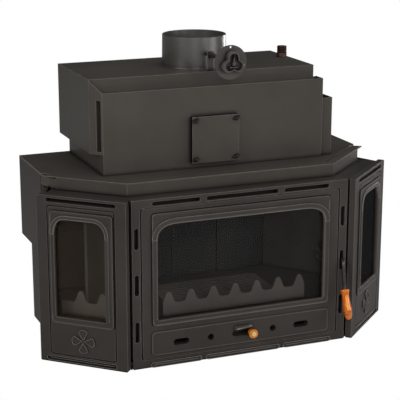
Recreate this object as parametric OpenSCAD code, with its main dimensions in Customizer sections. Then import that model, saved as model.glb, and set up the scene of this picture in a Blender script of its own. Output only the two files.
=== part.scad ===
// Boiler fireplace insert with a three-sided cast front and a water tank above.
// The origin is on the floor under the flue axis, +Z is up and the front faces -Y.

/* [Flue] */
// Outer radius of the flue collar
flue_r = 100; // [90:1:110]
// Wall of the flue collar
flue_wall = 3; // [2:0.5:5]
// Height of the flue collar above the tank
flue_h = 96; // [80:1:140]
// Length of the flue collar that takes the pipe, above a shallow shoulder
seat_l = 38; // [30:1:40]
// Radius of the damper rod
rod_r = 6; // [5:0.5:8]
// Distance from the flue axis to the damper rosette
rosette_reach = 292; // [270:1:330]
// Radius of the damper rosette
rosette_r = 51; // [45:1:58]
// Radius of the damper grip
grip_r = 37; // [28:1:38]
// Radial clearance of a running shaft
run_gap = 0.05; // [0.03:0.01:0.09]

/* [Tank] */
// Tank side left of the flue axis
tank_left = 396; // [380:1:420]
// Tank side right of the flue axis
tank_right = 342; // [335:1:350]
// Tank face in front of the flue axis
tank_front = 154; // [145:1:165]
// Tank back behind the flue axis
tank_back = 168; // [150:1:190]
// Height of the tank
tank_h = 222; // [200:1:260]
// Height of the neck between body and tank
neck_h = 63; // [50:1:80]
// Steel wall of the tank
tank_wall = 4; // [3:0.5:6]
// Air gap between the tank face and the front shield
shield_gap = 41; // [30:1:50]
// Height of the front shield
shield_h = 248; // [220:1:270]
// Sheet thickness of shield, neck and duct
sheet = 2; // [1.5:0.5:3]
// Width of the inspection cover
cover_w = 153; // [120:1:180]
// Height of the inspection cover
cover_h = 143; // [120:1:160]
// Outer radius of the water outlet
outlet_r = 16.5; // [13:0.5:20]

/* [Body] */
// Half width of the body
body_half = 531; // [515:1:560]
// Body side walls start this far in front of the flue axis
body_front = 85; // [70:1:100]
// Back of the upper body behind the flue axis
body_back = 168; // [150:1:190]
// Back of the lower body behind the flue axis
low_back = 47; // [35:1:60]
// Height at which the back steps
step_z = 288; // [270:1:310]
// Height of the base frame
base_h = 46; // [40:1:50]
// Top face of the body's top plate
plate_z = 546; // [540:1:560]
// Thickness of the body plates
plate_t = 4; // [3:0.5:6]
// Width of the water space in the jacket
jacket_w = 31; // [25:1:36]
// Height of the hearth plate's top face
hearth_z = 135; // [130:1:145]

/* [Front] */
// Distance from the flue axis to the front face
front_reach = 390; // [380:1:420]
// Width of the centre frame
frame_w = 696; // [680:1:720]
// Height of the cast frames
frame_h = 516; // [508:1:520]
// Thickness of the centre frame
frame_t = 22; // [20:1:26]
// Width of each wing frame
wing_w = 286; // [276:1:300]
// Thickness of the wing frames
wing_t = 19; // [16:1:22]
// Angle of the wings
wing_angle = 43; // [38:1:48]
// Gap across between centre frame and wing
wing_gap = 21; // [18:1:26]
// The wings stand this far in front of the centre frame
wing_fore = 12; // [8:1:14]
// Height of the collar band
collar_h = 38; // [30:1:48]
// The collar band lies this far behind the front face
collar_set = 70; // [64:1:80]
// Half width of the collar band between its folds
collar_half = 336; // [330:1:342]
// Length of the collar band along each wing
collar_run = 230; // [200:1:240]
// Width of the collar band's flat lip
lip_w = 28; // [18:1:34]

/* [Door] */
// Gap round the door
door_gap = 4; // [3.8:0.1:5]
// Side rail of the centre frame beside the door
frame_rail = 26; // [24:1:30]
// Thickness of the door
door_t = 20; // [18:1:21]
// Rail of the door beside its window
win_side = 47; // [42:1:60]
// Lower edge of the door window
win_z0 = 145; // [140:1:160]
// Rail of the door above its window
win_top = 51; // [46:1:70]
// Thickness of the glass panes
glass_t = 4; // [3:0.5:5]
// Radius of the hinge pins
pin_r = 4; // [3:0.5:5]
// Height of the air slots' centre line
air_z = 70; // [66:1:74]
// Travel of the air slider
air_travel = 54; // [50:1:56]
// Radius of the air knob
knob_r = 15; // [11:1:16]
// Length of the wooden handle grip
handle_l = 94; // [80:1:100]
// Largest radius of the wooden handle grip
handle_r = 14; // [11:0.5:15]
// Number of waves on the front fence
waves = 7; // [5:2:7]

/* [Hidden] */

$fn = 64;
ca = cos(wing_angle);
sa = sin(wing_angle);
tank_z0 = plate_z + neck_h;
tank_z1 = tank_z0 + tank_h;
rod_z = tank_z1 + flue_h / 2;
blade_r = flue_r - flue_wall - 3;
smoke_x = 180;
smoke_y = flue_r;
shield_y = -tank_front - shield_gap;
shield_left = tank_left - 30;
shield_right = tank_right + 14;
front_y = -front_reach;
frame_z0 = 0;
frame_z1 = frame_z0 + frame_h;
back_y = front_y + frame_t;
near_x = frame_w / 2 + wing_gap;
near_y = front_y - wing_fore;
floor_z = base_h + plate_t;
rail_z1 = frame_z1 - 4;
rail_z0 = rail_z1 - 8;
collar_y = front_y + collar_set;
open_x = frame_w / 2 - frame_rail;
open_z0 = frame_z0 + 26;
open_z1 = frame_z1 - 25;
door_x = open_x - door_gap;
door_z0 = open_z0 + door_gap / 2;
door_z1 = open_z1 - door_gap / 2;
win_w = 2 * (door_x - win_side);
win_z1 = door_z1 - win_top;
seat_x = door_x - 18;
seat_z0 = floor_z;
seat_z1 = door_z1 - 18;
hinge_x = -door_x + 8;
hinge_y = front_y + 6;
slot_x = open_x + frame_rail / 2 - 1;
shaft_y = back_y + 16;
shaft_z = 262;
stem_x = air_travel / 2;
door_back = front_y + door_t;
carrier_t = 5;
fence_z1 = hearth_z + 76;
fence_z0 = hearth_z + 40;
wave_pitch = 72;
win_wing_u0 = 66;
win_wing_u1 = 230;

// A box from its two corners
module block(lo, hi) translate(lo) cube(hi - lo);

// A flat outline in X and Z, its back face at y and its thickness t towards the front
module upright(y, t) translate([0, y, 0]) rotate([90, 0, 0]) linear_extrude(t) children();

// Puts a wing's own frame in place: u along the wing, y from its front face inwards
module on_wing(side) mirror([side < 0 ? 1 : 0, 0, 0])
    translate([near_x, near_y, 0]) rotate([0, 0, wing_angle]) children();

// A line parallel to the collar band, d further in, with its wings run long
function bent(d, run) = let (x = collar_half - d * tan(wing_angle / 2), y = collar_y + d)
    [[-x - run * ca, y + run * sa], [-x, y], [x, y], [x + run * ca, y + run * sa]];
function turned(list) = [for (i = [len(list) - 1 : -1 : 0]) list[i]];

// A flat outline of a rectangle with round corners
module round_rect(x0, x1, z0, z1, r) {
    translate([x0 + r, z0]) square([x1 - x0 - 2 * r, z1 - z0]);
    translate([x0, z0 + r]) square([x1 - x0, z1 - z0 - 2 * r]);
    for (x = [x0 + r, x1 - r], z = [z0 + r, z1 - r]) translate([x, z]) circle(r);
}

// A window outline whose top corners fall in a shallow curve
function corner_curve(x, z, run, drop) = [for (i = [0 : 6]) let (t = i / 6)
    [x - run * t * t, z - drop * (1 - t) * (1 - t)]];
module arch(x0, x1, z0, z1, run, drop) {
    right = corner_curve(x1, z1, run, drop);
    left = [for (p = turned(right)) [x0 + x1 - p[0], p[1]]];
    polygon(concat([[x0, z0], [x1, z0]], right, left));
}

// A row of waves between x0 and x1, from z0 up to between low and high
module wave_sheet(x0, x1, z0, low, high, pitch, centre) {
    steps = 16 * round((x1 - x0) / pitch);
    top = [for (i = [0 : steps]) let (x = x1 - (x1 - x0) * i / steps,
        peak = centre + pitch * round((x - centre) / pitch),
        whole = peak - pitch / 6 < x0 || peak + pitch / 6 > x1 ? 0 : 1,
        bell = pow((1 + cos(360 * (x - centre) / pitch)) / 2, 2))
        [x, low + whole * (high - low) * bell * bell * (3 - 2 * bell)]];
    polygon(concat([[x0, z0], [x1, z0]], top));
}

// A hexagon head or nut along Y, its face at y and its height h towards the back
module hex_head(r, h) rotate([-90, 0, 0]) cylinder(r = r, h = h, $fn = 6);
module rod_y(r, h) rotate([-90, 0, 0]) cylinder(r = r, h = h);
module rod_x(r, h) rotate([0, 90, 0]) cylinder(r = r, h = h);

module base_frame() color("dimgray") {
    for (x = [-380, 340]) block([x, back_y + carrier_t + 20, 0], [x + 40, low_back - 5, base_h]);
    for (y = [back_y + 50, -20]) block([-340, y, 0], [340, y + 40, base_h]);
}

// Welded seam between the ceiling's four plates
seam = 0.3;
// Outline behind the cast fronts seen from above, d inside the carrier, back to side and back
module floor_outline(d, side, back) {
    right = [[frame_w / 2 + 6 - d, back_y + carrier_t + d], behind(22, carrier_t + d),
        behind(wing_w - 24, carrier_t + d), [side, -body_front], [side, back]];
    polygon(concat(right, [for (p = turned(right)) [-p[0], p[1]]]));
}

module body_floor() color("dimgray") translate([0, 0, base_h]) linear_extrude(plate_t) {
    floor_outline(0, body_half - jacket_w, low_back);
    translate([-body_half, -body_front]) square([2 * body_half, low_back + body_front]);
}

// The stepped box of the body, w inside its outer faces
module stepped(w, front) {
    block([-body_half + w, -front, floor_z], [body_half - w, low_back - w, step_z + w + 1]);
    block([-body_half + w, -front, step_z + w], [body_half - w, body_back - w, plate_z - plate_t]);
}
module outer_casing() color("#3c3a37") difference() {
    stepped(0, body_front);
    stepped(plate_t, body_front + 1);
}
module inner_firebox() color("#3c3a37") difference() {
    intersection() {
        stepped(jacket_w, body_front);
        block([-body_half, -body_front, floor_z], [body_half, body_back, rail_z0 - plate_t]);
    }
    stepped(jacket_w + plate_t, body_front + 1);
}
module jacket_strips() color("#3c3a37") for (s = [-1, 1])
    block([s > 0 ? body_half - jacket_w : -body_half + plate_t, -body_front, floor_z],
        [s > 0 ? body_half - plate_t : -body_half + jacket_w, -body_front + plate_t, plate_z - plate_t]);

module top_plate() color("#4a4848") difference() {
    translate([0, 0, plate_z - plate_t]) linear_extrude(plate_t)
        polygon(concat(bent(lip_w + 10, (body_half - collar_half + (lip_w + 10) * tan(wing_angle / 2)) / ca),
            [[body_half, body_back], [-body_half, body_back]]));
    block([-smoke_x, -smoke_y, 0], [smoke_x, smoke_y, plate_z + 1]);
}
module firebox_ceiling() color("#3c3a37") difference() {
    translate([0, 0, rail_z0 - plate_t]) linear_extrude(plate_t)
        floor_outline(0, body_half - jacket_w, body_back - jacket_w);
    block([-smoke_x + plate_t, -smoke_y + plate_t, 0], [smoke_x - plate_t, smoke_y - plate_t, plate_z]);
    for (x = [-smoke_x + plate_t, smoke_x - plate_t - seam])
        block([x, front_y, 0], [x + seam, body_back, plate_z]);
}
module smoke_throat() color("#3c3a37") difference() {
    block([-smoke_x, -smoke_y, rail_z0], [smoke_x, smoke_y, tank_z0]);
    block([-smoke_x + plate_t, -smoke_y + plate_t, 0], [smoke_x - plate_t, smoke_y - plate_t, tank_z1]);
}

// Flange behind a wing frame, in the wing's own frame
module wing_flange() difference() {
    block([6, wing_t, frame_z0 + 2], [wing_w - 6, wing_t + carrier_t, rail_z1]);
    block([50, wing_t - 1, floor_z + 10], [wing_w - 50, wing_t + carrier_t + 1, rail_z0 - 20]);
    for (u = [26, wing_w - 26], z = wing_bolt_z)
        translate([u, wing_t - 1, z]) rod_y(4.3, carrier_t + 2);
}
module front_carrier() color("#2f2d2b") {
    difference() {
        block([-frame_w / 2 + 1, back_y, frame_z0 + 2], [frame_w / 2 - 1, back_y + carrier_t, rail_z1]);
        block([-seat_x, back_y - 1, seat_z0], [seat_x, back_y + carrier_t + 1, seat_z1]);
        block([slot_x - 8, back_y - 1, shaft_z - 36], [slot_x + 8, back_y + carrier_t + 1, shaft_z + 36]);
        for (s = [-1, 1], z = bolt_z) translate([s * slot_x, back_y - 1, z]) rod_y(4.3, carrier_t + 2);
    }
    for (s = [-1, 1]) {
        on_wing(s) wing_flange();
        on_wing(s) block([12, wing_t + 2, rail_z0], [wing_w - 12, wing_t + 72, rail_z1 - 0.5]);
        mirror([s < 0 ? 1 : 0, 0, 0]) translate([0, 0, frame_z0])
            linear_extrude(rail_z1 - frame_z0 - 1) polygon(corner_post);
        mirror([s < 0 ? 1 : 0, 0, 0]) block([frame_w / 2 + 1, front_y + 4, frame_z0],
            [frame_w / 2 + 5, back_y + 4, frame_z0 + 24]);
        mirror([s < 0 ? 1 : 0, 0, 0]) translate([0, 0, frame_z0 + 3])
            linear_extrude(rail_z1 - frame_z0 - 4) polygon(end_cheek);
    }
    block([-frame_w / 2 + 6, back_y + 2, rail_z0], [frame_w / 2 - 6, collar_y + 12, rail_z1]);
}
bolt_z = [floor_z + 15, 188, 331, 460];
wing_bolt_z = [30, frame_h - 42];
wing_near = [near_x - wing_t * sa, near_y + wing_t * ca];
function behind(u, d) = wing_near + u * [ca, sa] + d * [-sa, ca];
corner_post = [[frame_w / 2 - 6, back_y + 1], [frame_w / 2 + 2, back_y + 1], behind(10, 1.5),
    behind(12, 3.5), [frame_w / 2 + 5, back_y + 4], [frame_w / 2 - 6, back_y + 4]];
end_cheek = [behind(wing_w - 18, 1.5), behind(wing_w - 9, 1.5), [body_half - jacket_w + 5, -body_front],
    [body_half - jacket_w + 1, -body_front], behind(wing_w - 18, 3.5)];

module collar_band() color("#3c3a37") {
    translate([0, 0, rail_z1]) linear_extrude(collar_h - 1)
        polygon(concat(bent(0.5, collar_run), turned(bent(3.5, collar_run))));
    translate([0, 0, rail_z1 + collar_h - 3]) linear_extrude(3)
        polygon(concat(bent(0, collar_run + 40), turned(bent(lip_w, collar_run + 22))));
    for (s = [-1, 1]) mirror([s < 0 ? 1 : 0, 0, 0]) translate([0, 0, rail_z1])
        linear_extrude(plate_z - plate_t - 0.3 - rail_z1) polygon(collar_return);
}
collar_end = bent(0.5, collar_run)[3];
collar_return = [collar_end - [3, 0], collar_end - [0.5, 0], [body_half - 1, -body_front],
    [body_half - 4, -body_front], collar_end + [-3, 2]];

module neck_casing() color("#3c3a37") difference() {
    block([-shield_left + sheet, -tank_front, plate_z], [tank_right - 12, tank_back - 4, tank_z0]);
    block([-shield_left + 2 * sheet, -tank_front - 1, plate_z - 1],
        [tank_right - 12 - sheet, tank_back - 4 - sheet, tank_z0 + 1]);
}
module tank_shell() color("#403e3b") difference() {
    block([-tank_left, -tank_front, tank_z0], [tank_right, tank_back, tank_z1]);
    block([-tank_left + tank_wall, -tank_front + tank_wall, tank_z0 + tank_wall],
        [tank_right - tank_wall, tank_back - tank_wall, tank_z1 - tank_wall]);
    cylinder(r = flue_r - flue_wall, h = tank_z1 + 1);
    block([-smoke_x + plate_t, -smoke_y + plate_t, 0],
        [smoke_x - plate_t, smoke_y - plate_t, tank_z0 + tank_wall + 1]);
    translate([outlet_x, outlet_y, 0]) cylinder(r = outlet_r - 4, h = tank_z1 + 1);
}
outlet_x = tank_right - outlet_r - 3.5;
outlet_y = 36;
module smoke_box() color("#3c3a37") difference() {
    block([-smoke_x, -smoke_y, tank_z0 + tank_wall], [smoke_x, smoke_y, tank_z1 - tank_wall]);
    block([-smoke_x + plate_t, -smoke_y + plate_t, 0], [smoke_x - plate_t, smoke_y - plate_t, tank_z1]);
    for (p = tube_places) translate([-smoke_x - 1, p[0], p[1]]) rod_x(tube_r, 2 * smoke_x + 2);
}
tube_r = 16;
tube_places = [for (k = [0 : 2], j = [-1 : 1]) [j * 56, tank_z0 + 34 + k * 42]];
module heat_tubes() color("#4a4642") for (p = tube_places)
    translate([-smoke_x, p[0], p[1]]) difference() {
        rod_x(tube_r, 2 * smoke_x);
        translate([-1, 0, 0]) rod_x(tube_r - 3, 2 * smoke_x + 2);
    }

module front_shield() color("#3c3a37") {
    difference() {
        block([-shield_left, shield_y, plate_z], [shield_right, shield_y + sheet, plate_z + shield_h]);
        block([cover_x - cover_w / 2 + 15, shield_y - 1, cover_z0 + 15],
            [cover_x + cover_w / 2 - 15, shield_y + 9, cover_z0 + cover_h - 15]);
        for (p = cover_holes) translate([p[0], shield_y - 1, p[1]]) rod_y(3, 9);
    }
    block([-shield_left, shield_y + sheet, plate_z], [-shield_left + sheet, tank_back - 4, tank_z0]);
    translate([-shield_left, shield_y + sheet, 0]) rotate([0, 0, 180 - cheek_turn]) upright(sheet, sheet)
        difference() {
            polygon([[-1, tank_z0], [cheek_l, tank_z0], [cheek_l, tank_z1 - 2], [-1, plate_z + shield_h]]);
            translate([5, tank_z0 + 9]) square([16, shield_h - neck_h - 31]);
        }
    block([shield_right - sheet, shield_y + sheet, plate_z],
        [shield_right, -tank_front + 8, plate_z + shield_h]);
    block([tank_right, -tank_front, tank_z0],
        [shield_right - sheet, -tank_front + sheet, plate_z + shield_h]);
}
cheek_run = [tank_left - shield_left, shield_gap - sheet];
cheek_turn = atan2(cheek_run[1], cheek_run[0]);
cheek_l = norm(cheek_run) - 2;
cover_x = -13;
cover_z0 = plate_z + 17;
cover_holes = [for (x = [-1, 1], z = [12, cover_h - 12])
    [cover_x + x * (cover_w / 2 - 10), cover_z0 + z]];
cover_back = shield_y - 14;
module cover_seal() color("#1c1b1a") difference() {
    block([cover_x - cover_w / 2 + 1, cover_back, cover_z0 + 1],
        [cover_x + cover_w / 2 - 1, shield_y, cover_z0 + cover_h - 1]);
    block([cover_x - cover_w / 2 + 20, cover_back - 1, cover_z0 + 20],
        [cover_x + cover_w / 2 - 20, shield_y + 1, cover_z0 + cover_h - 20]);
    for (p = cover_holes) translate([p[0], cover_back - 1, p[1]]) rod_y(3, 16);
}
module cover_plate() color("#403e3b") difference() {
    block([cover_x - cover_w / 2, cover_back - 4, cover_z0],
        [cover_x + cover_w / 2, cover_back, cover_z0 + cover_h]);
    for (p = cover_holes) translate([p[0], cover_back - 5, p[1]]) rod_y(3, 6);
}
module cover_screws() color("#6a6864") for (p = cover_holes) translate([p[0], cover_back - 4, p[1]]) {
    rod_y(2.9, 24);
    translate([0, -8, 0]) rod_y(6, 8);
    translate([0, -7, 0]) block([-13, -4, -2], [13, 3, 4]);
}

module side_duct() color("#3c3a37") difference() {
    block([shield_right, shield_y + 12, plate_z], [shield_right + 40, tank_back - 40, plate_z + 183]);
    block([shield_right + sheet, shield_y + 12 + sheet, plate_z - 1],
        [shield_right + 40 - sheet, tank_back - 40 - sheet, plate_z + 184]);
}

module flue_collar() color("#55524e") difference() {
    union() {
        translate([0, 0, tank_z1]) cylinder(r = flue_r, h = flue_h);
        translate([0, 0, tank_z1]) cylinder(r = flue_r + 2, h = flue_h - seat_l);
        translate([0, 0, tank_z1]) cylinder(r = flue_r + 4, h = 3);
    }
    translate([0, 0, tank_z1 - 1]) cylinder(r = flue_r - flue_wall, h = flue_h + 2);
    translate([0, -flue_r - 2, rod_z]) rod_y(rod_r + run_gap, 2 * flue_r + 4);
}
module water_outlet() color("#5d4a40") difference() {
    translate([outlet_x, outlet_y, tank_z1]) {
        cylinder(r = outlet_r, h = 13);
        cylinder(r = outlet_r - 0.5, h = 35);
    }
    translate([outlet_x, outlet_y, tank_z1 - 1]) cylinder(r = outlet_r - 4, h = 40);
}
module socket_y(r, bore, l) difference() {
    rod_y(r, l);
    translate([0, -1, 0]) rod_y(bore, l + 2);
}
module return_socket() color("#5d4a40") translate([400, low_back, 110]) socket_y(21, 15.1, 32);
module well_socket() color("#5d4a40") translate([-300, tank_back, tank_z0 + 150]) socket_y(14, 9.3, 24);

module rod_bracket() color("#77736c") difference() {
    block([-rod_r - 4, -flue_r - 37, tank_z1], [rod_r + 4, -flue_r - 34, rod_z + rod_r + 5]);
    translate([0, -flue_r - 38, rod_z]) rod_y(rod_r + run_gap, 5);
}
rosette_holes = [for (a = [90, 210, 330]) (rosette_r - 6) * [cos(a), sin(a)]];
module damper_rosette() color("#4a4848") difference() {
    translate([0, -rosette_reach, rod_z]) rod_y(rosette_r, 4);
    translate([0, -rosette_reach - 1, rod_z]) rod_y(rod_r + run_gap, 6);
    for (p = rosette_holes) translate([p[0], -rosette_reach - 1, rod_z + p[1]]) rod_y(3.5, 6);
}
module damper_rod() color("#4a4848") translate([0, 0, rod_z]) {
    translate([0, -rosette_reach - 26, 0]) rod_y(rod_r, rosette_reach + 26 + flue_r + 8);
    translate([0, -flue_r - 56, 0]) rod_y(rod_r + 3.5, 16);
}
module damper_blade() color("#4a4642") translate([0, 0, rod_z]) difference() {
    union() {
        translate([0, 0, -1.5]) cylinder(r = blade_r, h = 3);
        translate([0, -50, 0]) rod_y(rod_r + 5, 100);
    }
    translate([0, -blade_r - 1, 0]) rod_y(rod_r, 2 * blade_r + 2);
}
// Three-lobed grip with a raised pointer, hollow on both sides of the pointer
module lobes(r) {
    for (a = [90, 210, 330]) hull() {
        circle(r * 0.5, $fn = 32);
        translate(r * 0.66 * [cos(a), sin(a)]) circle(r * 0.34, $fn = 32);
    }
}
module damper_grip() color("#55524e") translate([0, -rosette_reach - 1, rod_z]) difference() {
    rotate([90, 0, 0]) union() {
        translate([0, 0, 7]) linear_extrude(18) difference() {
            lobes(grip_r);
            offset(delta = -4) lobes(grip_r);
        }
        translate([0, 0, 7]) linear_extrude(6) lobes(grip_r);
        cylinder(r = rod_r + 4, h = 28);
    }
    translate([0, -26, 0]) rod_y(rod_r, 28);
}

module side_slots() for (z = [115, 260, 401]) round_rect(-7, 7, z - 32, z + 32, 6.9);
module centre_frame() color("#3c3a37") difference() {
    upright(back_y, frame_t) difference() {
        round_rect(-frame_w / 2, frame_w / 2, frame_z0, frame_z1, 3);
        round_rect(-open_x, open_x, open_z0, open_z1, 7);
        for (s = [-1, 1]) translate([s * slot_x, 0]) side_slots();
        for (x = [[-285, -135], [-116, 116], [135, 285]])
            round_rect(x[0], x[1], frame_z1 - 21, frame_z1 - 8, 6.4);
    }
    for (x = [[-295, -136], [-120, 120], [136, 295]])
        upright(front_y + 5, 6) round_rect(x[0], x[1], frame_z0 + 5.5, frame_z0 + 18, 5.9);
    for (s = [-1, 1], z = bolt_z) translate([s * slot_x, back_y - 12, z]) rod_y(4, 13);
    for (z = [open_z0 - 13, open_z1 - 1]) translate([hinge_x, hinge_y, z]) cylinder(r = pin_r, h = 14);
}
module hinge_pins() color("#77736c") for (z = [open_z0 - 13, open_z1 - 13])
    translate([hinge_x, hinge_y, z]) cylinder(r = pin_r, h = 26);
module frame_bolts() color("#4a4642") for (s = [-1, 1], z = bolt_z) translate([s * slot_x, 0, z]) {
    translate([0, back_y - 12, 0]) rod_y(4, 12 + carrier_t + 3);
    translate([0, back_y + carrier_t, 0]) hex_head(7, 5);
}

// A flat leaf from the origin along X, widest near its round end
function leaf_half(t, w) = w / 2
    * (t < 0.72 ? pow(t / 0.72, 0.9) : sqrt(max(0, 1 - pow((t - 0.72) / 0.28, 2))));
module petal(l, w) polygon(concat([for (i = [0 : 15]) [l * i / 15, -leaf_half(i / 15, w)]],
    [for (i = [14 : -1 : 1]) [l * i / 15, leaf_half(i / 15, w)]]));
module wing_casting() difference() {
    union() {
        upright(wing_t, wing_t) difference() {
            round_rect(0, wing_w, frame_z0, frame_z1, 4);
            round_rect(32, wing_w - 30, frame_z1 - 20, frame_z1 - 8, 5.9);
            arch(win_wing_u0, win_wing_u1, 145, 448, 40, 46);
        }
        upright(0, 3) difference() {
            round_rect(42, wing_w - 44, 128, 472, 8);
            arch(win_wing_u0, win_wing_u1, 145, 448, 40, 46);
        }
        for (a = [0 : 90 : 270]) upright(0, 2.5) translate([wing_w / 2, 78]) rotate(a)
            translate([4, 0]) petal(33, 27);
    }
    upright(5, 6) round_rect(36, wing_w - 22, frame_z0 + 5.5, frame_z0 + 18, 5.9);
    upright(2, 3) difference() {
        round_rect(39.5, wing_w - 41.5, 125, 475, 10);
        round_rect(42, wing_w - 44, 128, 472, 8);
    }
    upright(3, 4) difference() {
        round_rect(35, wing_w - 33, 25, 488, 9);
        round_rect(39, wing_w - 37, 29, 484, 7);
    }
    block([win_wing_u0 - 8, wing_t - 9, 136], [win_wing_u1 + 8, wing_t + 1, 458]);
    for (u = [26, wing_w - 26], z = wing_bolt_z) translate([u, wing_t - 10, z]) rod_y(4, 11);
}
module wing_frame_left() color("#3c3a37") on_wing(-1) wing_casting();
module wing_frame_right() color("#3c3a37") on_wing(1) wing_casting();
module wing_pane() block([win_wing_u0 - 7, wing_t - 9, 137], [win_wing_u1 + 7, wing_t - 9 + glass_t, 457]);
module wing_glass_left() color("#5a605e", 0.35) on_wing(-1) wing_pane();
module wing_glass_right() color("#5a605e", 0.35) on_wing(1) wing_pane();
module wing_bolts() color("#4a4642") for (s = [-1, 1]) on_wing(s)
    for (u = [26, wing_w - 26], z = wing_bolt_z) translate([u, 0, z]) {
        translate([0, wing_t - 10, 0]) rod_y(4, 10 + carrier_t + 3);
        translate([0, wing_t + carrier_t, 0]) hex_head(7, 5);
    }
module wing_clips() color("#77736c") for (s = [-1, 1]) on_wing(s)
    for (u = [win_wing_u0 - 6, win_wing_u1 - 8], z = [190, 400])
        block([u, wing_t - 9 + glass_t, z], [u + 14, wing_t, z + 24]);

grate_x = 172;
grate_y0 = collar_y + 70;
grate_y1 = grate_y0 + 188;
module hearth_plate() color("#2f2d2b") difference() {
    translate([0, 0, hearth_z - 6]) linear_extrude(6)
        floor_outline(10, body_half - jacket_w - plate_t - 1, wall_y - 1);
    block([-grate_x, grate_y0, 0], [grate_x, grate_y1, hearth_z + 1]);
}
module drawer_guides() color("#3c3a37") for (s = [-1, 1])
    block([s > 0 ? grate_x : -grate_x - 4, grate_y0 - 70, floor_z],
        [s > 0 ? grate_x + 4 : -grate_x, grate_y1 + 40, hearth_z - 6]);
module ash_drawer() color("#4a4848") difference() {
    block([-grate_x + 3, grate_y0 - 68, floor_z], [grate_x - 3, grate_y1 + 20, hearth_z - 22]);
    block([-grate_x + 5, grate_y0 - 66, floor_z + 2], [grate_x - 5, grate_y1 + 18, hearth_z]);
}
module fire_grate() color("#2a2826") difference() {
    union() {
        block([-grate_x + 2, grate_y0 + 2, hearth_z - 8], [grate_x - 2, grate_y1 - 2, hearth_z + 2]);
        for (s = [-1, 1]) block([s > 0 ? grate_x - 8 : -grate_x - 12, grate_y0 + 10, hearth_z],
            [s > 0 ? grate_x + 12 : -grate_x + 8, grate_y1 - 10, hearth_z + 2]);
    }
    for (i = [0 : 7], j = [-1 : 1]) block([j * 108 - 48, grate_y0 + 14 + i * 21, 0],
        [j * 108 + 48, grate_y0 + 25 + i * 21, hearth_z + 3]);
}
fence_y = front_y + 52;
module fence(x0, x1, y, centre) {
    upright(y + 6, 6) wave_sheet(x0, x1, hearth_z, fence_z0, fence_z1, wave_pitch, centre);
    block([x0, y, hearth_z], [x1, y + 16, hearth_z + 4]);
}
module front_fence() color("#2a2826")
    fence(-wave_pitch * waves / 2 + 18, wave_pitch * waves / 2 - 18, fence_y, 0);
module side_fences() color("#2a2826") for (s = [-1, 1]) on_wing(s) fence(50, 240, wing_t + 40, 178);

wall_y = low_back - jacket_w - plate_t;
back_half = 157 + 76;
liner_z1 = rail_z0 - 72;
module back_plates() color("#332f2c") for (i = [-1 : 1])
    block([i * 157 - 76, wall_y - 10, hearth_z], [i * 157 + 76, wall_y, liner_z1]);
side_line = [[back_half + 17, wall_y - 8], behind(wing_w - 116.6, 73.2)];
module side_plates() color("#332f2c") for (s = [-1, 1]) mirror([s < 0 ? 1 : 0, 0, 0])
    translate([0, 0, hearth_z]) linear_extrude(liner_z1 - hearth_z)
        polygon([side_line[0], side_line[1], side_line[1] + [7, 5], side_line[0] + [7, 5]]);
module smoke_baffle() color("#332f2c")
    block([-330, -170, rail_z0 - 66], [330, body_back - jacket_w - plate_t - 20, rail_z0 - 58]);
module baffle_hangers() color("#4a4642") for (x = [-300, 300], y = [-140, 80])
    translate([x, y, rail_z0 - 58]) cylinder(r = 5, h = 58 - plate_t);

module latch_bracket() color("#4a4642") difference() {
    block([seat_x + 4, back_y + carrier_t, shaft_z - 12], [seat_x + 18, shaft_y + 11, shaft_z + 12]);
    translate([seat_x, shaft_y, shaft_z]) rod_x(5 + run_gap, 24);
}
module latch_shaft() color("#77736c") translate([seat_x - 24, shaft_y, shaft_z])
    rod_x(5, slot_x + 6 - seat_x + 24);
grip_tilt = 21;
grip_dir = [-sin(grip_tilt), -cos(grip_tilt)];
grip_top = [front_y - 25.5, shaft_z - 90];
lever_end = grip_top - 5.3 * grip_dir;
module latch_lever() color("#2f2d2b") difference() {
    union() {
        block([slot_x - 4, front_y - 12, shaft_z - 4], [slot_x + 4, shaft_y, shaft_z + 5]);
        translate([slot_x - 4, shaft_y, shaft_z]) rod_x(9, 8);
        hull() {
            translate([slot_x - 6, front_y - 11, shaft_z - 1]) rod_x(5, 12, $fn = 32);
            translate([slot_x - 5, lever_end[0], lever_end[1]]) rod_x(5, 10, $fn = 32);
        }
        translate([slot_x, grip_top[0], grip_top[1]]) rotate([180 - grip_tilt, 0, 0])
            translate([0, 0, -5]) cylinder(r = 4, h = 23);
    }
    translate([slot_x - 5, shaft_y, shaft_z]) rod_x(5, 10);
}
module latch_hook() color("#77736c") difference() {
    union() {
        translate([seat_x - 22, shaft_y, shaft_z]) rod_x(9, 8);
        block([seat_x - 22, shaft_y, shaft_z - 4], [seat_x - 14, shaft_y + 33, shaft_z + 4]);
        block([seat_x - 22, shaft_y + 27, shaft_z - 4], [seat_x - 14, shaft_y + 33, shaft_z + 10.4]);
    }
    translate([seat_x - 23, shaft_y, shaft_z]) rod_x(5, 10);
}
// The turned grip hangs in line with the lever
module handle_grip() color("#b5581c") translate([slot_x, grip_top[0], grip_top[1]])
    rotate([180 - grip_tilt, 0, 0]) difference() {
        rotate_extrude() polygon(concat([[0, 0]], [for (i = [0 : 32]) let (t = i / 32)
            [handle_r * grip_shape(t), handle_l * t]], [[0, handle_l]]));
        translate([0, 0, -1]) cylinder(r = 4.2, h = 20);
    }
function grip_shape(t) = t < 0.3 ? 0.885 + 0.115 * cos(600 * t)
    : t < 0.7 ? 0.865 - 0.095 * cos(450 * (t - 0.3))
    : 0.96 * sqrt(max(0.04, 1 - pow((t - 0.7) / 0.3, 2.6)));

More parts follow.
